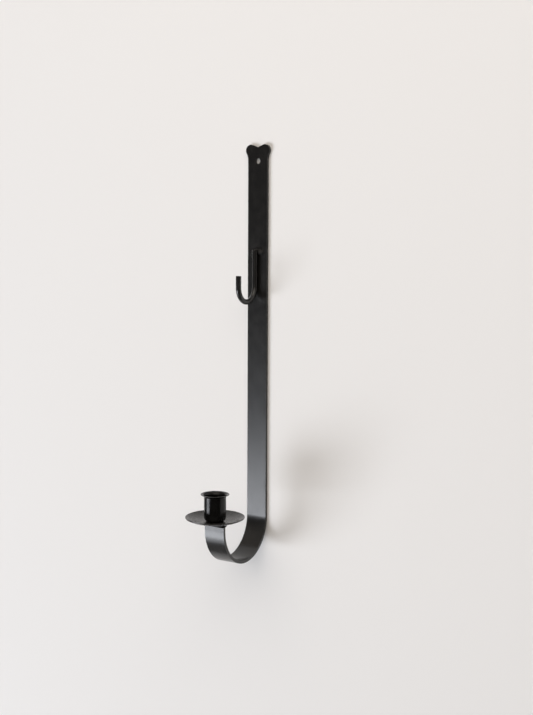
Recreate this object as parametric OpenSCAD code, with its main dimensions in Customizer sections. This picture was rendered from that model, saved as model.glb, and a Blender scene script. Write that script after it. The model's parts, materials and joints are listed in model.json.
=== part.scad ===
/* [Strap] */
// Height over all, from the top of the head to the lowest point of the bend
overall_h = 465.7; // [300:0.1:700]
// Width of the flat bar
bar_w = 25; // [20:0.5:32]
// Thickness of the flat bar with its coating
bar_t = 3.3; // [2:0.1:5]
// Inner radius of the half-round bend that carries the candle forward
bend_r = 41; // [36:0.5:80]
// Straight stretch between the bend and the drip pan
riser_h = 9.7; // [6:0.1:60]

/* [Head] */
// From the middle of the hanging hole up to the top of the head
hole_to_top = 18.2; // [15:0.1:30]
// Diameter of the hanging hole
hole_d = 6.5; // [3:0.1:8]
// Radius of each of the two lobes
lobe_r = 6.4; // [6:0.1:8]
// How far each lobe stands out past the edge of the bar
lobe_out = 3; // [1:0.1:5]
// Depth of the notch between the lobes
notch_d = 3.1; // [1:0.1:5]
// Largest radius in the foot of the notch
notch_r = 2.5; // [1:0.1:4]
// Radius of the hollow that leads from a lobe into the edge of the bar
neck_r = 17; // [4:0.5:20]

/* [Wreath hook] */
// Diameter of the round wire
wire_d = 6; // [4:0.1:8]
// Clear gap between the stem and the prong
hook_gap = 27.2; // [15:0.1:40]
// From the hanging hole down to the upper end of the stem
hook_drop = 98.5; // [60:0.5:150]
// Straight length of the stem
stem_l = 41.3; // [25:0.1:80]
// Straight length of the prong
prong_l = 12.9; // [8:0.1:40]
// Sideways place of the hook from the middle of the bar
hook_x = -1.3; // [-4:0.1:4]
// Bevel round the two cut ends of the wire
wire_bevel = 0.5; // [0.1:0.1:1]

/* [Drip pan] */
// Diameter of the pan
pan_d = 65; // [50:0.5:80]
// Thickness of the pan's sheet
pan_t = 1; // [0.8:0.1:2]
// Diameter of the flat middle, which the end of the bar and the cup are fixed to
pan_flat_d = 27; // [26:0.5:40]
// Rise of the dished border from the flat middle up to the rim
pan_depth = 5; // [1:0.1:10]

/* [Candle cup] */
// Bore for the foot of the candle
cup_bore_d = 23; // [18:0.1:24]
// Thickness of the cup's sheet
cup_t = 0.6; // [0.5:0.1:1]
// Height of the cup
cup_h = 30.1; // [18:0.1:40]
// Outer radius of the corner between the cup's wall and floor
cup_corner_r = 5; // [2:0.1:6]
// Outer radius of the curve from the cup's wall into its brim
brim_curve_r = 3.2; // [1:0.1:4]
// Flat width of the brim past that curve
brim_flat = 0.4; // [0.2:0.1:4]

/* [Welds] */
// Radius of the two beads beside the upper end of the hook's stem
hook_bead_r = 2.6; // [1.5:0.1:2.9]
// Length of the left bead, which runs along the stem
hook_bead_l = 10.5; // [6:0.5:20]
// Length of the right bead, which runs across the bar
hook_bead_w = 8.2; // [6:0.1:9]
// Radius of the two beads between the end of the bar and the pan
pan_bead_r = 3; // [2:0.1:4]
// From the pan down to the middle of those beads
pan_bead_drop = 0.8; // [0.1:0.1:1.5]
// How far the middle of those beads lies inside the bar's face
pan_bead_in = 0.5; // [0.1:0.1:1]
// Diameter of the spot weld between the cup and the pan
spot_d = 5; // [3:0.1:8]
// Depth of the spot weld into each of the two sheets
spot_depth = 0.3; // [0.1:0.05:0.4]

/* [Hidden] */
$fn = 96;

// The origin is on the hanging hole's axis, in the strap's back face. The wall is the plane y = 0,
// the front looks along -Y and +Z points up.
clear = 1;
big = 200;

// Head: lobe centres, the notch's round foot, which never grows past a round that touches both
// lobes, the direction square to its straight flank, and the circles that hollow the necks
lobe_x = bar_w / 2 + lobe_out - lobe_r;
lobe_z = hole_to_top - lobe_r;
notch_fit_r = (lobe_x ^ 2 + (lobe_r - notch_d) ^ 2 - lobe_r ^ 2) / (2 * notch_d);
notch_round = min(notch_r, notch_fit_r);
notch_z = hole_to_top - notch_d + notch_round;
notch_way = norm([lobe_x, notch_z - lobe_z]);
flank_a = atan2(notch_z - lobe_z, -lobe_x) - acos(min(1, (lobe_r + notch_round) / notch_way));
neck_x = bar_w / 2 + neck_r;
neck_z = lobe_z - sqrt((lobe_r + neck_r) ^ 2 - (neck_x - lobe_x) ^ 2);

// Bend: the bar's centre of curvature, and the riser's middle where pan and cup stand
bend_out_r = bend_r + bar_t;
bend_z = hole_to_top - overall_h + bend_out_r;
riser_y = -2 * bend_out_r + bar_t / 2;
riser_top = bend_z + riser_h;

// Hook: the wire's middle line
wire_r = wire_d / 2;
hook_r = (hook_gap + wire_d) / 2;
stem_y = -bar_t - wire_r;
prong_y = stem_y - 2 * hook_r;
stem_top = -hook_drop;
hook_bend_z = stem_top - stem_l;

// Pan and cup
pan_r = pan_d / 2;
pan_flat_r = pan_flat_d / 2;
dish_w = pan_r - pan_flat_r;
dish_r = (dish_w ^ 2 + pan_depth ^ 2) / (2 * pan_depth);
pan_floor_z = riser_top + pan_t;
cup_r = cup_bore_d / 2 + cup_t;
brim_z = cup_h - cup_t - brim_curve_r;

// Point on the line from a to b at distance d from a
function toward(a, b, d) = a + (b - a) * d / norm(b - a);

// A half turn from the wall side through the lowest point to the front, about the X axis,
// for a section drawn with its radius along X and its width along Y
module half_turn() {
    rotate([0, -90, 0])
        rotate([0, 0, 90])
            rotate_extrude(angle = 180)
                children();
}

// Outline of the straight back in X and Z, up to a head of two lobes with a straight-sided notch
// between them and a hollow neck on each side
module back_outline() {
    lobe_c = [lobe_x, lobe_z];
    flank = [cos(flank_a), sin(flank_a)];
    right = [
        [bar_w / 2, bend_z],
        [bar_w / 2, neck_z],
        toward(lobe_c, [neck_x, neck_z], lobe_r),
        lobe_c,
        lobe_c + flank * lobe_r,
        [0, notch_z] - flank * notch_round
    ];
    left = [for (i = [len(right) - 1:-1:0]) [-right[i].x, right[i].y]];
    difference() {
        union() {
            for (side = [-1, 1])
                translate([side * lobe_x, lobe_z])
                    circle(lobe_r);
            polygon(concat(right, left));
        }
        translate([0, notch_z])
            circle(notch_round);
        for (side = [-1, 1])
            translate([side * neck_x, neck_z])
                circle(neck_r);
    }
}

// Flat bar with a lobed head, hung from one hole and bent forward and up at its foot
module wall_strap() {
    color("#232324")
        difference() {
            union() {
                rotate([90, 0, 0])
                    linear_extrude(bar_t)
                        back_outline();
                translate([0, -bend_out_r, bend_z])
                    half_turn()
                        translate([bend_r, -bar_w / 2])
                            square([bar_t, bar_w]);
                translate([-bar_w / 2, riser_y - bar_t / 2, bend_z])
                    cube([bar_w, bar_t, riser_h]);
            }
            rotate([90, 0, 0])
                translate([0, 0, -clear])
                    cylinder(d = hole_d, h = bar_t + 2 * clear);
        }
}

// Straight wire standing on z = 0, with a bevelled cut end at the top
module wire_end(l) {
    cylinder(r = wire_r, h = l - wire_bevel);
    translate([0, 0, l - wire_bevel])
        cylinder(r1 = wire_r, r2 = wire_r - wire_bevel, h = wire_bevel);
}

// Round wire bent to a U: the long leg is the stem on the strap, the short one the free prong
module wreath_hook() {
    color("#1c1c1d") {
        translate([hook_x, stem_y, hook_bend_z])
            wire_end(stem_l);
        translate([hook_x, stem_y - hook_r, hook_bend_z])
            half_turn()
                translate([hook_r, 0])
                    circle(wire_r);
        translate([hook_x, prong_y, hook_bend_z])
            wire_end(prong_l);
    }
}

// Straight round-ended bead between two points
module bead(a, b, r) {
    way = b - a;
    translate(a)
        rotate([0, acos(way.z / norm(way)), atan2(way.y, way.x)]) {
            sphere(r);
            cylinder(r = r, h = norm(way));
            translate([0, 0, norm(way)])
                sphere(r);
        }
}

// Two weld beads between the strap and the upper end of the hook's stem: the left one runs along
// the stem, the right one across the bar
module hook_weld() {
    bead_y = -bar_t - hook_bead_r / 4;
    left_x = hook_x - wire_r - hook_bead_r / 2;
    left_z = stem_top - hook_bead_r / 2;
    right_x = hook_x + wire_r + hook_bead_r / 2;
    right_z = stem_top - hook_bead_r;
    ways = [
        [[left_x, bead_y, left_z - hook_bead_l + 2 * hook_bead_r], [left_x, bead_y, left_z]],
        [[right_x, bead_y, right_z], [right_x + hook_bead_w - 2 * hook_bead_r, bead_y, right_z]]
    ];
    color("#262627")
        for (way = ways)
            difference() {
                bead(way[0], way[1], hook_bead_r);
                translate([-big / 2, -bar_t, stem_top - big / 2])
                    cube(big);
                translate([hook_x, stem_y, stem_top - big / 2])
                    cylinder(r = wire_r, h = big);
            }
}

// Round slug of fused metal, half in the cup's floor and half in the pan
module spot_slug() {
    translate([0, riser_y, pan_floor_z - spot_depth])
        cylinder(d = spot_d, h = 2 * spot_depth);
}

// Half section of the pan: flat middle and dished border
module pan_section() {
    square([pan_flat_r, pan_t]);
    intersection() {
        translate([pan_flat_r, pan_t + dish_r])
            difference() {
                circle(dish_r + pan_t);
                circle(dish_r);
            }
        translate([pan_flat_r, 0])
            square([dish_w, pan_t + dish_r]);
    }
}

// Round sheet pan with a dished border
module drip_pan() {
    color("#2b2b2b")
        difference() {
            translate([0, riser_y, riser_top])
                rotate_extrude()
                    pan_section();
            spot_slug();
        }
}

// Two weld beads across the bar's width under the pan, one on the front and one on the side that
// faces the wall
module pan_weld() {
    color("#262627")
        difference() {
            for (side = [-1, 1])
                translate([-bar_w / 2, riser_y + side * (bar_t / 2 - pan_bead_in), riser_top - pan_bead_drop])
                    rotate([0, 90, 0])
                        cylinder(r = pan_bead_r, h = bar_w);
            translate([-big / 2, riser_y - big / 2, riser_top])
                cube(big);
            translate([-big / 2, riser_y - bar_t / 2, riser_top - big / 2])
                cube([big, bar_t, big]);
        }
}

// Half section of the cup: floor, round corner, wall and a brim that curves out to a narrow flat
module cup_section() {
    corner_x = cup_r - cup_corner_r;
    curve_x = cup_r + brim_curve_r;
    square([corner_x, cup_t]);
    intersection() {
        translate([corner_x, cup_corner_r])
            difference() {
                circle(cup_corner_r);
                circle(cup_corner_r - cup_t);
            }
        translate([corner_x, 0])
            square(cup_corner_r);
    }
    translate([cup_r - cup_t, cup_corner_r])
        square([cup_t, brim_z - cup_corner_r]);
    intersection() {
        translate([curve_x, brim_z])
            difference() {
                circle(brim_curve_r + cup_t);
                circle(brim_curve_r);
            }
        translate([cup_r - cup_t, brim_z])
            square(brim_curve_r + cup_t);
    }
    translate([curve_x, cup_h - cup_t])
        square([brim_flat, cup_t]);
}

// Drawn sheet cup with a round foot and a curved brim
module candle_cup() {
    color("#18181a")
        difference() {
            translate([0, riser_y, pan_floor_z])
                rotate_extrude()
                    cup_section();
            spot_slug();
        }
}

// Spot weld that holds the cup on the pan
module cup_spot_weld() {
    color("#8d9094")
        spot_slug();
}

wall_strap();
wreath_hook();
hook_weld();
drip_pan();
pan_weld();
candle_cup();
cup_spot_weld();
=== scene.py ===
import json
from math import acos, asin, atan2, cos, hypot, pi, radians, sin, sqrt, tan

import bmesh
import bpy
from mathutils import Matrix, Vector, noise


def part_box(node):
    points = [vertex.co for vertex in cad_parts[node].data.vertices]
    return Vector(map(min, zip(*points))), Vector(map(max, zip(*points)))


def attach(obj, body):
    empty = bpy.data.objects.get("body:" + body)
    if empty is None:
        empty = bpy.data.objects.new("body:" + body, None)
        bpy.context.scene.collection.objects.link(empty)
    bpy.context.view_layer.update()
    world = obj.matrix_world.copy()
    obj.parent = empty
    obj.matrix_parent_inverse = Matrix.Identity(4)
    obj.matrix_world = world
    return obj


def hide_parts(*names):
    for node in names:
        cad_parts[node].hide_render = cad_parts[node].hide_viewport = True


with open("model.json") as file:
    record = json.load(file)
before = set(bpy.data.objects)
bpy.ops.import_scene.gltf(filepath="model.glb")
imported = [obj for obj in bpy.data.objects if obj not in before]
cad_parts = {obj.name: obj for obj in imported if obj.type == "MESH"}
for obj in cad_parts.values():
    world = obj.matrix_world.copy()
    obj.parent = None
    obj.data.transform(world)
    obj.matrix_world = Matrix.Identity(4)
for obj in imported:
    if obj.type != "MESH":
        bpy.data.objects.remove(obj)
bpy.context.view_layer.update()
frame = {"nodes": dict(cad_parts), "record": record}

# Sizes of the holder. The wall is the plane y = 0, the front looks along -Y, and the origin is on
# the hanging hole's axis. All is in metres.
MM = 0.001
SNAP = 0.01 * MM  # points nearer than this count as one place

mounts = {m["name"]: m for m in frame["record"]["mounts"]}
cup_lo, cup_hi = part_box("candle_cup")
pan_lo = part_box("drip_pan")[0]

# Bar: width, thickness, hole, lobed head, bend and the coated edge's radius
BAR_W = 25 * MM
BAR_T = mounts["hanging_hole"]["dims"]["length_mm"] * MM
HOLE_R = mounts["hanging_hole"]["dims"]["r_mm"] * MM
HEAD_TOP = 18.2 * MM
HEAD_FOOT = -12 * MM
LOBE_R = 6.4 * MM
LOBE_OUT = 3 * MM
NOTCH_D = 3.1 * MM
NOTCH_R = 2.5 * MM
NECK_R = 17 * MM
BEND_R = 41 * MM
BEND_Z = -403.2 * MM
BEND_C = Vector((0, -BEND_R - BAR_T, BEND_Z))
EDGE_R = 0.45 * MM

# Hook: wire, bend, long leg on the bar and free prong
WIRE_R = mounts["hook_prong"]["dims"]["r_mm"] * MM
WIRE_EDGE = 0.6 * MM
HOOK_X = mounts["hook_prong"]["pos_m"][0]
HOOK_R = 16.6 * MM
STEM_Y = -BAR_T - WIRE_R
STEM_TOP = -98.5 * MM
STEM_L = 41.3 * MM
PRONG_L = 12.9 * MM

# Hook's weld: middle of the sheet that it is raised from, the sheet's half size and cells, how deep
# the weld sinks into the bar, and its lumps, each as middle X and Z, half width, half height, rise
HOOK_WELD_Z = -102.5 * MM
HOOK_WELD_HALF = 11 * MM
HOOK_WELD_CELLS = 88
HOOK_WELD_SINK = 0.4 * MM
HOOK_WELD_LOWER = 0.2 * MM
HOOK_LUMPS_MM = (
    (-4.9, -100.9, 3.5, 3.7, 3.5),
    (-6.4, -104.4, 2.7, 3.4, 2.5),
    (-1.8, -98.8, 4.6, 1.9, 2.6),
    (2.4, -99.6, 3.4, 2.6, 2.2),
    (3.6, -101.9, 3.4, 3.0, 2.6),
    (6.2, -101.6, 2.8, 3.2, 1.7),
)
HOOK_RIPPLES_MM = ((0.45, 1.5), (0.15, 0.5))  # height and size

# Pan: a flat middle and a border that is dished on two arcs about one centre
PAN_R = 32.5 * MM
PAN_T = 1 * MM
PAN_Z = pan_lo.z
PAN_FLAT_R = 13.5 * MM
PAN_DEPTH = 5 * MM
DISH_W = PAN_R - PAN_FLAT_R
DISH_R = (DISH_W ** 2 + PAN_DEPTH ** 2) / (2 * PAN_DEPTH)
RIM_EDGE = 0.3 * MM

# Pan's weld: a bead across each face of the bar, which grows to the right and ends past its edge
PAN_WELD_R = 3.7 * MM
PAN_WELD_LEFT = -BAR_W / 2 + 0.4 * MM
PAN_WELD_L = BAR_W + 1 * MM
PAN_WELD_DROP = 1.2 * MM
PAN_WELD_IN = 0.5 * MM
PAN_WELD_OVERLAP = 0.05 * MM
PAN_WELD_RINGS = 60
PAN_WELD_FLAT = 0.95
PAN_WELD_LEFT_SIZE = 0.92
PAN_WELD_GROWTH = 0.22
PAN_WELD_END = 0.1
PAN_WELD_END_SIZE = 0.3
RIPPLE = 0.03
RIPPLE_PITCH = 2.1 * MM
CAST_SIZE = 2.4 * MM
CAST_DEPTH = 0.25 * MM

# Cup
CUP_BORE_R = mounts["candle_socket"]["dims"]["r_mm"] * MM
CUP_T = 0.6 * MM
CUP_H = cup_hi.z - cup_lo.z
CUP_CORNER_R = 5 * MM
BRIM_CURVE_R = 3.2 * MM
BRIM_FLAT = 0.4 * MM
RISER_Y = mounts["candle_socket"]["pos_m"][1]

# Profiles are drawn in a plane of constant y. A positive angle about this axis turns +X to +Z.
PROFILE_AXIS = Vector((0, -1, 0))


# Mesh work shared by the pieces


def line(bm, vert, to):
    """Draws a straight edge from a vertex to a point and gives the new vertex."""
    end = bmesh.ops.extrude_vert_indiv(bm, verts=[vert])["verts"][0]
    end.co = to
    return end


def arc(bm, vert, centre, angle, steps):
    """Draws an arc of edges from a vertex round a centre in the profile's plane and gives its
    last vertex."""
    made = bmesh.ops.spin(
        bm, geom=[vert], cent=centre, axis=PROFILE_AXIS, dvec=(0, 0, 0), angle=angle, steps=steps
    )
    return next(g for g in made["geom_last"] if isinstance(g, bmesh.types.BMVert))


def pull(bm, face, move, keep=False):
    """Extrudes one face by a vector and gives the new end face. The first face is kept as the
    closed end of a solid that starts there."""
    made = bmesh.ops.extrude_face_region(bm, geom=[face])["geom"]
    if not keep:
        bmesh.ops.delete(bm, geom=[face], context="FACES_ONLY")
    verts = [g for g in made if isinstance(g, bmesh.types.BMVert)]
    bmesh.ops.translate(bm, vec=move, verts=verts)
    return next(g for g in made if isinstance(g, bmesh.types.BMFace))


def swing_forward(bm, face, centre, steps):
    """Extrudes one face half a turn forward and up about a centre and gives the new end face."""
    made = bmesh.ops.spin(
        bm, geom=[face], cent=centre, axis=(1, 0, 0), dvec=(0, 0, 0), angle=-pi, steps=steps
    )
    bmesh.ops.delete(bm, geom=[face], context="FACES_ONLY")
    return next(g for g in made["geom_last"] if isinstance(g, bmesh.types.BMFace))


def turned(bm, steps):
    """Spins everything drawn so far round the candle's axis."""
    bmesh.ops.spin(
        bm, geom=bm.verts[:] + bm.edges[:], cent=(0, RISER_Y, 0), axis=(0, 0, 1),
        dvec=(0, 0, 0), angle=2 * pi, steps=steps, use_merge=True,
    )
    close_up(bm)


def soften(bm, edges, radius, steps):
    """Rounds edges to a radius."""
    bmesh.ops.bevel(
        bm, geom=edges, offset=radius, offset_type="OFFSET", segments=steps, profile=0.5,
        affect="EDGES", clamp_overlap=True, material=-1,
    )


def sharp_edges(bm):
    """Edges that turn by more than 40 degrees."""
    return [e for e in bm.edges if e.is_manifold and e.calc_face_angle() > radians(40)]


def close_up(bm):
    """Merges doubles and turns every face outwards."""
    bmesh.ops.remove_doubles(bm, verts=bm.verts, dist=0.002 * MM)
    bmesh.ops.recalc_face_normals(bm, faces=bm.faces)


def piece(name, bm, material, node, flats=False):
    """Makes a mesh an object that rides on the holder in place of its CAD node."""
    mesh = bpy.data.meshes.new(name)
    bm.to_mesh(mesh)
    bm.free()
    for face in mesh.polygons:
        face.use_smooth = True
    mesh.materials.append(material)
    obj = bpy.data.objects.new(name, mesh)
    bpy.context.scene.collection.objects.link(obj)
    if flats:
        even = obj.modifiers.new("even_flats", "WEIGHTED_NORMAL")
        even.weight = 100
    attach(obj, "root")
    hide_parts(node)


# Materials


class Surface:
    """A node material that is built up step by step."""

    def __init__(self, name):
        self.material = bpy.data.materials.new(name)
        self.material.use_nodes = True
        self.tree = self.material.node_tree
        self.shader = self.tree.nodes["Principled BSDF"]
        self.place = self.node("ShaderNodeTexCoord").outputs["Object"]

    def node(self, kind, **settings):
        made = self.tree.nodes.new(kind)
        for name, value in settings.items():
            setattr(made, name, value)
        return made

    def wire(self, source, target):
        self.tree.links.new(source, target)

    def grain(self, scale, detail=2.0, rough=0.5, stretch=(1, 1, 1)):
        """Noise of so many waves a metre, times stretch along each axis."""
        mapping = self.node("ShaderNodeMapping")
        mapping.inputs["Scale"].default_value = stretch
        self.wire(self.place, mapping.inputs["Vector"])
        field = self.node("ShaderNodeTexNoise")
        field.inputs["Scale"].default_value = scale
        field.inputs["Detail"].default_value = detail
        field.inputs["Roughness"].default_value = rough
        self.wire(mapping.outputs["Vector"], field.inputs["Vector"])
        return field.outputs["Fac"]

    def ramp(self, fac, low, high, start=0.35, end=0.65):
        """A value that goes from low to high as the noise goes from start to end."""
        spread = self.node("ShaderNodeMapRange")
        spread.inputs["From Min"].default_value = start
        spread.inputs["From Max"].default_value = end
        spread.inputs["To Min"].default_value = low
        spread.inputs["To Max"].default_value = high
        self.wire(fac, spread.inputs["Value"])
        return spread.outputs["Result"]

    def blend(self, fac, one, other):
        """A colour between two, by a value; a colour is a triple or another node's output."""
        mix = self.node("ShaderNodeMix", data_type="RGBA")
        self.wire(fac, mix.inputs["Factor"])
        for socket, colour in ((mix.inputs[6], one), (mix.inputs[7], other)):
            if isinstance(colour, tuple):
                socket.default_value = (*colour, 1)
            else:
                self.wire(colour, socket)
        return mix.outputs[2]

    def add(self, one, other, share):
        """One value plus a share of another."""
        sum_up = self.node("ShaderNodeMath", operation="MULTIPLY_ADD")
        sum_up.inputs[1].default_value = share
        self.wire(other, sum_up.inputs[0])
        self.wire(one, sum_up.inputs[2])
        return sum_up.outputs["Value"]

    def relief(self, height, depth):
        """Raises the surface by so many metres at full height."""
        bump = self.node("ShaderNodeBump")
        bump.inputs["Distance"].default_value = depth
        self.wire(height, bump.inputs["Height"])
        self.wire(bump.outputs["Normal"], self.shader.inputs["Normal"])

    def colour(self, source):
        self.wire(source, self.shader.inputs["Base Color"])

    def roughness(self, source):
        self.wire(source, self.shader.inputs["Roughness"])

    def shine(self, level):
        self.shader.inputs["Specular IOR Level"].default_value = level


def satin_black_coat():
    """Satin black powder coat over rolled bar: lines of the rolling, orange peel and fine dust."""
    coat = Surface("satin_black_coat")
    rolled = coat.grain(1, detail=4, rough=0.6, stretch=(700, 6, 6))
    mottle = coat.grain(90, detail=4, rough=0.65)
    peel = coat.grain(700, detail=3, rough=0.55)
    specks = coat.grain(1600, detail=1)
    body = coat.blend(coat.ramp(mottle, 0, 1), (0.0075, 0.0072, 0.0072), (0.0125, 0.0118, 0.0112))
    dust = coat.ramp(specks, 0, 1, start=0.70, end=0.76)
    coat.colour(coat.blend(dust, body, (0.060, 0.056, 0.050)))
    coat.roughness(coat.ramp(coat.add(mottle, rolled, 0.7), 0.205, 0.255, start=0.6, end=1.1))
    coat.relief(coat.add(peel, rolled, 0.8), 0.012 * MM)
    return coat.material


def pan_black_coat():
    """The satin coat on the dished pan, duller and warmer from dust and candle drips wiped off."""
    coat = Surface("pan_black_coat")
    mottle = coat.grain(120, detail=4, rough=0.6)
    peel = coat.grain(700, detail=3, rough=0.55)
    specks = coat.grain(1500, detail=1)
    body = coat.blend(coat.ramp(mottle, 0, 1), (0.0080, 0.0075, 0.0072), (0.0130, 0.0120, 0.0112))
    dust = coat.ramp(specks, 0, 1, start=0.68, end=0.75)
    coat.colour(coat.blend(dust, body, (0.060, 0.055, 0.048)))
    coat.roughness(coat.ramp(mottle, 0.25, 0.31))
    coat.shine(0.58)
    coat.relief(peel, 0.010 * MM)
    return coat.material


def gloss_black_coat():
    """Gloss black coat on drawn sheet: deeper black, faint rings of drawing and a soft peel."""
    coat = Surface("gloss_black_coat")
    mottle = coat.grain(160, detail=3)
    peel = coat.grain(420, detail=2)
    drawn = coat.grain(1, detail=3, stretch=(30, 30, 900))
    specks = coat.grain(1800, detail=1)
    body = coat.blend(coat.ramp(mottle, 0, 1), (0.0030, 0.0030, 0.0031), (0.0050, 0.0049, 0.0048))
    dust = coat.ramp(specks, 0, 1, start=0.71, end=0.77)
    coat.colour(coat.blend(dust, body, (0.050, 0.047, 0.043)))
    coat.roughness(coat.ramp(mottle, 0.18, 0.24))
    coat.shine(0.25)
    coat.relief(coat.add(peel, drawn, 0.5), 0.012 * MM)
    return coat.material


def weld_black_coat(name, shine):
    """The satin coat over weld metal: dull, pitted and mottled."""
    coat = Surface(name)
    scale = coat.grain(260, detail=4, rough=0.65)
    pits = coat.grain(1300, detail=2, rough=0.6)
    body = coat.blend(coat.ramp(scale, 0, 1), (0.0045, 0.0044, 0.0044), (0.0100, 0.0094, 0.0090))
    coat.colour(body)
    coat.roughness(coat.ramp(coat.add(scale, pits, 0.5), 0.42, 0.60, start=0.5, end=1.0))
    coat.shine(shine)
    coat.relief(coat.add(pits, scale, 0.7), 0.05 * MM)
    return coat.material


def bare_weld_steel():
    """Fused bare steel between cup and pan, blued by heat in patches."""
    steel = Surface("bare_weld_steel")
    steel.shader.inputs["Metallic"].default_value = 1.0
    frost = steel.grain(1200, detail=4, rough=0.7)
    tint = steel.grain(300, detail=2)
    steel.colour(steel.blend(steel.ramp(tint, 0, 1), (0.46, 0.45, 0.44), (0.30, 0.33, 0.42)))
    steel.roughness(steel.ramp(frost, 0.32, 0.55))
    steel.relief(frost, 0.03 * MM)
    return steel.material


# Pieces


def head_half(bm):
    """Right half of the head's outline in the plane y = 0, from the middle of its foot: straight
    edge, hollow neck, lobe, straight flank and rounded notch."""
    lobe = Vector((BAR_W / 2 + LOBE_OUT - LOBE_R, 0, HEAD_TOP - LOBE_R))
    notch = Vector((0, 0, HEAD_TOP - NOTCH_D + NOTCH_R))
    neck_x = BAR_W / 2 + NECK_R
    neck = Vector((neck_x, 0, lobe.z - sqrt((LOBE_R + NECK_R) ** 2 - (neck_x - lobe.x) ** 2)))
    between = notch - lobe
    flank = atan2(between.z, between.x) - acos((LOBE_R + NOTCH_R) / between.length)
    to_neck = atan2(neck.z - lobe.z, neck.x - lobe.x)
    v = bm.verts.new((0, 0, HEAD_FOOT))
    v = line(bm, v, (BAR_W / 2, 0, HEAD_FOOT))
    v = line(bm, v, (BAR_W / 2, 0, neck.z))
    v = arc(bm, v, neck, to_neck, steps=10)
    v = arc(bm, v, lobe, flank - to_neck, steps=36)
    v = line(bm, v, (notch.x - NOTCH_R * cos(flank), 0, notch.z - NOTCH_R * sin(flank)))
    arc(bm, v, notch, pi / 2 - flank, steps=6)


def wall_strap(coat):
    """Flat bar: lobed head with its hole, long back, half-round bend and short riser."""
    bm = bmesh.new()
    head_half(bm)
    bmesh.ops.mirror(bm, geom=bm.verts[:] + bm.edges[:], axis="X", merge_dist=SNAP)
    bmesh.ops.remove_doubles(bm, verts=bm.verts, dist=SNAP)
    middle = [v for v in bm.verts if abs(v.co.x) < SNAP and v.co.z < 0]
    bmesh.ops.dissolve_verts(bm, verts=middle)
    bmesh.ops.create_circle(
        bm, cap_ends=False, segments=48, radius=HOLE_R, matrix=Matrix.Rotation(pi / 2, 4, "X")
    )
    bmesh.ops.triangle_fill(bm, use_beauty=True, edges=bm.edges[:], normal=(0, 1, 0))
    made = bmesh.ops.extrude_face_region(bm, geom=bm.faces[:])["geom"]
    front = [g for g in made if isinstance(g, bmesh.types.BMVert)]
    bmesh.ops.translate(bm, vec=(0, -BAR_T, 0), verts=front)
    end = next(f for f in bm.faces if all(v.co.z < HEAD_FOOT + SNAP for v in f.verts))
    end = pull(bm, end, (0, 0, BEND_Z - HEAD_FOOT))
    end = swing_forward(bm, end, BEND_C, steps=90)
    pull(bm, end, (0, 0, PAN_Z - BEND_Z))
    close_up(bm)
    soften(bm, sharp_edges(bm), EDGE_R, steps=3)
    piece("wall_strap_bar", bm, coat, "wall_strap", flats=True)


def wreath_hook(coat):
    """Round wire bent to a U, with its two cut ends dressed."""
    bm = bmesh.new()
    place = Matrix.Translation((HOOK_X, STEM_Y, STEM_TOP))
    bmesh.ops.create_circle(bm, cap_ends=True, segments=48, radius=WIRE_R, matrix=place)
    end = pull(bm, bm.faces[:][0], (0, 0, -STEM_L), keep=True)
    end = swing_forward(bm, end, (HOOK_X, STEM_Y - HOOK_R, STEM_TOP - STEM_L), steps=60)
    pull(bm, end, (0, 0, PRONG_L))
    close_up(bm)
    soften(bm, sharp_edges(bm), WIRE_EDGE, steps=3)
    piece("wreath_hook_wire", bm, coat, "wreath_hook", flats=True)


def lump_rise(place):
    """Height of the hook's weld over the bar at a place: its lumps, flowing into each other."""
    rise = 0.0
    for x, z, half_w, half_h, height in HOOK_LUMPS_MM:
        left = 1 - ((place.x / MM - x) / half_w) ** 2 - ((place.z / MM - z) / half_h) ** 2
        rise += (max(0.0, left) * height) ** 3
    rise = rise ** (1 / 3)
    if rise > 0:
        rise += sum(h * noise.noise(place / (size * MM)) for h, size in HOOK_RIPPLES_MM)
    return rise * MM


def hook_weld(coat):
    """Lumpy weld on the bar's face, down both sides of the stem and over its cut end. It is
    raised from a flat sheet, and what isn't raised is cut away."""
    bm = bmesh.new()
    place = Matrix.Translation((0, -BAR_T, HOOK_WELD_Z)) @ Matrix.Rotation(pi / 2, 4, "X")
    bmesh.ops.create_grid(
        bm, x_segments=HOOK_WELD_CELLS, y_segments=HOOK_WELD_CELLS, size=HOOK_WELD_HALF,
        matrix=place,
    )
    for v in bm.verts:
        v.co.y = -BAR_T - max(lump_rise(v.co) - HOOK_WELD_LOWER, -HOOK_WELD_SINK)
    inside_bar = -BAR_T + 0.9 * HOOK_WELD_SINK
    inside = [f for f in bm.faces if all(v.co.y > inside_bar for v in f.verts)]
    bmesh.ops.delete(bm, geom=inside, context="FACES")
    made = bmesh.ops.extrude_edge_only(bm, edges=[e for e in bm.edges if e.is_boundary])["geom"]
    foot = [g for g in made if isinstance(g, bmesh.types.BMVert)]
    bmesh.ops.translate(bm, vec=(0, HOOK_WELD_SINK, 0), verts=foot)
    bmesh.ops.holes_fill(bm, edges=[e for e in bm.edges if e.is_boundary])
    close_up(bm)
    piece("hook_weld_bead", bm, coat, "hook_weld")


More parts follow.
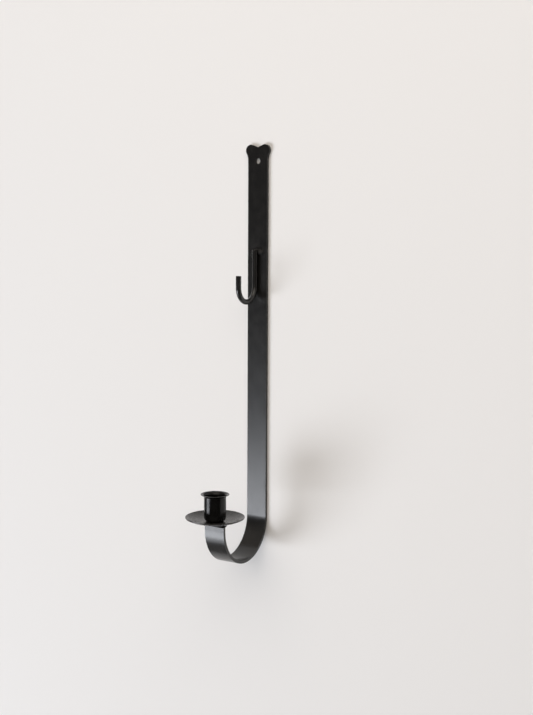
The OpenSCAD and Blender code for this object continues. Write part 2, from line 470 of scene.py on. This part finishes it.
def pan_bead(bm, y):
    """Draws one rippled bead along X at y, from rings that are squeezed a little along Y."""
    ring = None
    for k in range(PAN_WELD_RINGS + 1):
        run = k / PAN_WELD_RINGS
        x = PAN_WELD_LEFT + run * PAN_WELD_L
        near_end = max(0, 1 - min(run, 1 - run) / PAN_WELD_END)
        ripple = 1 + RIPPLE * (1 - 2 * abs(sin(pi * run * PAN_WELD_L / RIPPLE_PITCH)))
        size = (PAN_WELD_LEFT_SIZE + PAN_WELD_GROWTH * run) * ripple
        size *= sqrt(max(PAN_WELD_END_SIZE, 1 - near_end ** 2))
        place = (
            Matrix.Translation((x, y, PAN_Z - PAN_WELD_DROP))
            @ Matrix.Diagonal((1, PAN_WELD_FLAT, 1, 1))
            @ Matrix.Rotation(pi / 2, 4, "Y")
        )
        made = bmesh.ops.create_circle(
            bm, cap_ends=k in (0, PAN_WELD_RINGS), segments=28, radius=PAN_WELD_R * size,
            matrix=place,
        )
        edges = list({e for v in made["verts"] for e in v.link_edges})
        if ring is not None:
            bmesh.ops.bridge_loops(bm, edges=ring + edges)
        ring = edges


def pan_weld(coat):
    """Two rippled fillets under the pan, one across each face of the bar, cut off flat just
    inside the pan's sheet."""
    bm = bmesh.new()
    for side in (-1, 1):
        bead = bmesh.new()
        pan_bead(bead, RISER_Y + side * (BAR_T / 2 - PAN_WELD_IN))
        close_up(bead)
        bead.normal_update()
        for v in bead.verts:
            v.co += v.normal * (noise.noise(v.co / CAST_SIZE) * CAST_DEPTH)
        cut = bmesh.ops.bisect_plane(
            bead, geom=bead.verts[:] + bead.edges[:] + bead.faces[:],
            plane_co=(0, 0, PAN_Z + PAN_WELD_OVERLAP), plane_no=(0, 0, 1), clear_outer=True,
        )["geom_cut"]
        rim = [g for g in cut if isinstance(g, bmesh.types.BMEdge)]
        bmesh.ops.holes_fill(bead, edges=rim)
        mesh = bpy.data.meshes.new("fillet")
        bead.to_mesh(mesh)
        bead.free()
        bm.from_mesh(mesh)
        bpy.data.meshes.remove(mesh)
    close_up(bm)
    piece("pan_weld_fillets", bm, coat, "pan_weld")


def drip_pan(coat):
    """Round sheet pan: flat middle, dished border and a rim with its edges softened."""
    bm = bmesh.new()

    def at(r, z):
        return Vector((r, RISER_Y, PAN_Z + z))

    dish = at(PAN_FLAT_R, PAN_T + DISH_R)
    v = bm.verts.new(at(0, 0))
    v = line(bm, v, at(PAN_FLAT_R, 0))
    v = arc(bm, v, dish, asin(DISH_W / (DISH_R + PAN_T)), steps=24)
    v = line(bm, v, at(PAN_R, PAN_T + PAN_DEPTH))
    v = arc(bm, v, dish, -asin(DISH_W / DISH_R), steps=24)
    line(bm, v, at(0, PAN_T))
    turned(bm, steps=160)
    rim = [
        e for e in bm.edges
        if all(hypot(v.co.x, v.co.y - RISER_Y) > PAN_R - SNAP for v in e.verts)
        and abs(e.verts[0].co.z - e.verts[1].co.z) < SNAP
    ]
    soften(bm, rim, RIM_EDGE, steps=4)
    bmesh.ops.recalc_face_normals(bm, faces=bm.faces)
    piece("drip_pan_dish", bm, coat, "drip_pan", flats=True)


def candle_cup(coat):
    """Drawn cup: flat floor, round foot, straight wall and a curved brim with a round edge."""
    bm = bmesh.new()
    out_r = CUP_BORE_R + CUP_T
    foot_r = out_r - CUP_CORNER_R
    curve_r = out_r + BRIM_CURVE_R
    curve_z = CUP_H - CUP_T - BRIM_CURVE_R
    lip_r = curve_r + BRIM_FLAT - CUP_T / 2

    def at(r, z):
        return Vector((r, RISER_Y, cup_lo.z + z))

    v = bm.verts.new(at(0, 0))
    v = line(bm, v, at(foot_r, 0))
    v = arc(bm, v, at(foot_r, CUP_CORNER_R), pi / 2, steps=10)
    v = line(bm, v, at(out_r, curve_z))
    v = arc(bm, v, at(curve_r, curve_z), -pi / 2, steps=8)
    v = line(bm, v, at(lip_r, CUP_H - CUP_T))
    v = arc(bm, v, at(lip_r, CUP_H - CUP_T / 2), pi, steps=8)
    v = line(bm, v, at(curve_r, CUP_H))
    v = arc(bm, v, at(curve_r, curve_z), pi / 2, steps=10)
    v = line(bm, v, at(CUP_BORE_R, CUP_CORNER_R))
    v = arc(bm, v, at(foot_r, CUP_CORNER_R), -pi / 2, steps=10)
    line(bm, v, at(0, CUP_T))
    turned(bm, steps=128)
    piece("candle_cup_shell", bm, coat, "candle_cup", flats=True)


satin = satin_black_coat()
wall_strap(satin)
wreath_hook(satin)
hook_weld(weld_black_coat("hook_weld_coat", shine=0.26))
pan_weld(weld_black_coat("pan_weld_coat", shine=0.08))
drip_pan(pan_black_coat())
candle_cup(gloss_black_coat())

# The spot weld is hidden between cup and pan and keeps its CAD mesh
spot = frame["nodes"]["cup_spot_weld"]
spot.data.materials.clear()
spot.data.materials.append(bare_weld_steel())


# Stage

WALL_GAP = 0.2 * MM
WALL_HALF = 2.2
WALL_COLOUR = (0.85, 0.845, 0.84)
FLOOR_Z = -3.8
FLOOR_HALF = 12
FLOOR_COLOUR = (0.30, 0.297, 0.294)
FLOOR_SEEN = (0.62, 0.61, 0.60)
BACKDROP_SEEN = (0.80, 0.79, 0.78)

# The world's colour at heights from straight down, 0, to straight up, 1
SKY = (
    (0, (0.05, 0.045, 0.04)),
    (0.48, (0.0324, 0.03, 0.027)),
    (0.58, (0.0432, 0.04, 0.036)),
    (0.75, (0.378, 0.35, 0.315)),
    (1, (0.45, 0.41, 0.37)),
)

LIT_PLACE = Vector((0, -0.05, -0.42))  # what the lamps aim at, inside the bend


def matt_paint(name, colour):
    """A matt stage surface, still without an output."""
    surface = Surface(name)
    matt = surface.node("ShaderNodeBsdfDiffuse")
    matt.inputs["Color"].default_value = (*colour, 1)
    surface.tree.nodes.remove(surface.shader)
    return surface, matt.outputs[0]


def mixed(surface, fac, one, other):
    """Ends a stage surface in a mix of two shaders."""
    mix = surface.node("ShaderNodeMixShader")
    surface.wire(fac, mix.inputs["Fac"])
    surface.wire(one, mix.inputs[1])
    surface.wire(other, mix.inputs[2])
    surface.wire(mix.outputs[0], surface.tree.nodes["Material Output"].inputs["Surface"])
    return surface.material


def wall_paint():
    """Matt wall, see-through from its back and for what lies right against it, so that the back
    of the holder is lit too."""
    surface, matt = matt_paint("wall_paint", WALL_COLOUR)
    clear = surface.node("ShaderNodeBsdfTransparent").outputs[0]
    back = surface.node("ShaderNodeNewGeometry").outputs["Backfacing"]
    near = surface.node("ShaderNodeMath", operation="LESS_THAN")
    near.inputs[1].default_value = 3 * WALL_GAP
    surface.wire(surface.node("ShaderNodeLightPath").outputs["Ray Length"], near.inputs[0])
    either = surface.node("ShaderNodeMath", operation="MAXIMUM")
    surface.wire(back, either.inputs[0])
    surface.wire(near.outputs[0], either.inputs[1])
    return mixed(surface, either.outputs[0], matt, clear)


def floor_paint():
    """Matt floor far below, which the camera sees pale."""
    surface, matt = matt_paint("floor_paint", FLOOR_COLOUR)
    pale = surface.node("ShaderNodeEmission")
    pale.inputs["Color"].default_value = (*FLOOR_SEEN, 1)
    seen = surface.node("ShaderNodeLightPath").outputs["Is Camera Ray"]
    return mixed(surface, seen, matt, pale.outputs[0])


def stage_sheet(name, place, half, material):
    """A square stage sheet that faces along its own +Z."""
    bm = bmesh.new()
    bmesh.ops.create_grid(bm, x_segments=1, y_segments=1, size=half, matrix=place)
    mesh = bpy.data.meshes.new(name)
    bm.to_mesh(mesh)
    bm.free()
    mesh.materials.append(material)
    obj = bpy.data.objects.new(name, mesh)
    bpy.context.scene.collection.objects.link(obj)


def toward(azimuth, elevation):
    """Direction from the holder: azimuth 0 is straight ahead of the wall, 90 its right."""
    a, e = radians(azimuth), radians(elevation)
    return Vector((sin(a) * cos(e), -cos(a) * cos(e), sin(e)))


def lamp(name, azimuth, elevation, distance, spread, level, colour):
    """A soft box that spans the given angles as seen from the place that it lights. Level is how
    bright its face is, where 1 is white."""
    data = bpy.data.lights.new(name, "AREA")
    data.shape = "RECTANGLE"
    data.size = 2 * distance * tan(radians(spread[0] / 2))
    data.size_y = 2 * distance * tan(radians(spread[1] / 2))
    data.energy = level * data.size * data.size_y * pi
    data.color = colour
    obj = bpy.data.objects.new(name, data)
    way = toward(azimuth, elevation) * distance
    obj.location = LIT_PLACE + way
    obj.rotation_euler = way.to_track_quat("Z", "Y").to_euler()
    obj.visible_camera = False
    bpy.context.scene.collection.objects.link(obj)


def sky():
    """Room light that is dim level with the holder and brighter overhead, and pale where the
    camera looks past the wall and the floor."""
    world = bpy.data.worlds.new("studio")
    bpy.context.scene.world = world
    world.use_nodes = True
    nodes, links = world.node_tree.nodes, world.node_tree.links
    split = nodes.new("ShaderNodeSeparateXYZ")
    spread = nodes.new("ShaderNodeMapRange")
    spread.inputs["From Min"].default_value = -1
    ramp = nodes.new("ShaderNodeValToRGB")
    steps = ramp.color_ramp.elements
    for height, _ in SKY[1:-1]:
        steps.new(height)
    for step, (_, colour) in zip(steps, SKY):
        step.color = (*colour, 1)
    pale = nodes.new("ShaderNodeMix")
    pale.data_type = "RGBA"
    pale.inputs[7].default_value = (*BACKDROP_SEEN, 1)
    links.new(nodes.new("ShaderNodeTexCoord").outputs["Generated"], split.inputs[0])
    links.new(split.outputs["Z"], spread.inputs["Value"])
    links.new(spread.outputs["Result"], ramp.inputs["Fac"])
    links.new(ramp.outputs["Color"], pale.inputs[6])
    links.new(nodes.new("ShaderNodeLightPath").outputs["Is Camera Ray"], pale.inputs["Factor"])
    links.new(pale.outputs[2], nodes["Background"].inputs["Color"])


wall_place = Matrix.Translation((0, WALL_GAP, 0)) @ Matrix.Rotation(pi / 2, 4, "X")
stage_sheet("wall", wall_place, WALL_HALF, wall_paint())
stage_sheet("floor", Matrix.Translation((0, 0, FLOOR_Z)), FLOOR_HALF, floor_paint())

lamp("window", azimuth=-43, elevation=-22.25, distance=4.6, spread=(32, 21.5), level=10.2,
     colour=(0.93, 0.96, 1.02))
lamp("window_sill", azimuth=-43, elevation=-37.5, distance=4.6, spread=(32, 9), level=3.0,
     colour=(0.93, 0.96, 1.02))
lamp("ceiling_light", azimuth=15, elevation=62, distance=2.4, spread=(50, 40), level=0.8,
     colour=(1.0, 0.92, 0.82))
lamp("room_light", azimuth=20, elevation=38, distance=2.4, spread=(60, 56), level=1.24,
     colour=(1.0, 0.92, 0.84))
lamp("rear_light", azimuth=180, elevation=45, distance=2.4, spread=(40, 40), level=1.2,
     colour=(1.0, 0.98, 0.95))
sky()

# Camera, where the photograph was taken from
CAMERA_AT = Vector((0.7095, -1.1143, -0.0715))
CAMERA_AIM = Vector((0.01082, 0, -0.2201))
CAMERA_ROLL = radians(0.284)
camera = bpy.data.objects.new("camera", bpy.data.cameras.new("camera"))
bpy.context.scene.collection.objects.link(camera)
camera.data.sensor_width = 36
camera.data.lens = 58.80
camera.data.clip_start = 0.05
camera.location = CAMERA_AT
look = (CAMERA_AT - CAMERA_AIM).to_track_quat("Z", "Y").to_matrix().to_4x4()
camera.rotation_euler = (look @ Matrix.Rotation(CAMERA_ROLL, 4, "Z")).to_euler()
bpy.context.scene.camera = camera
bpy.context.scene.view_settings.view_transform = "Standard"
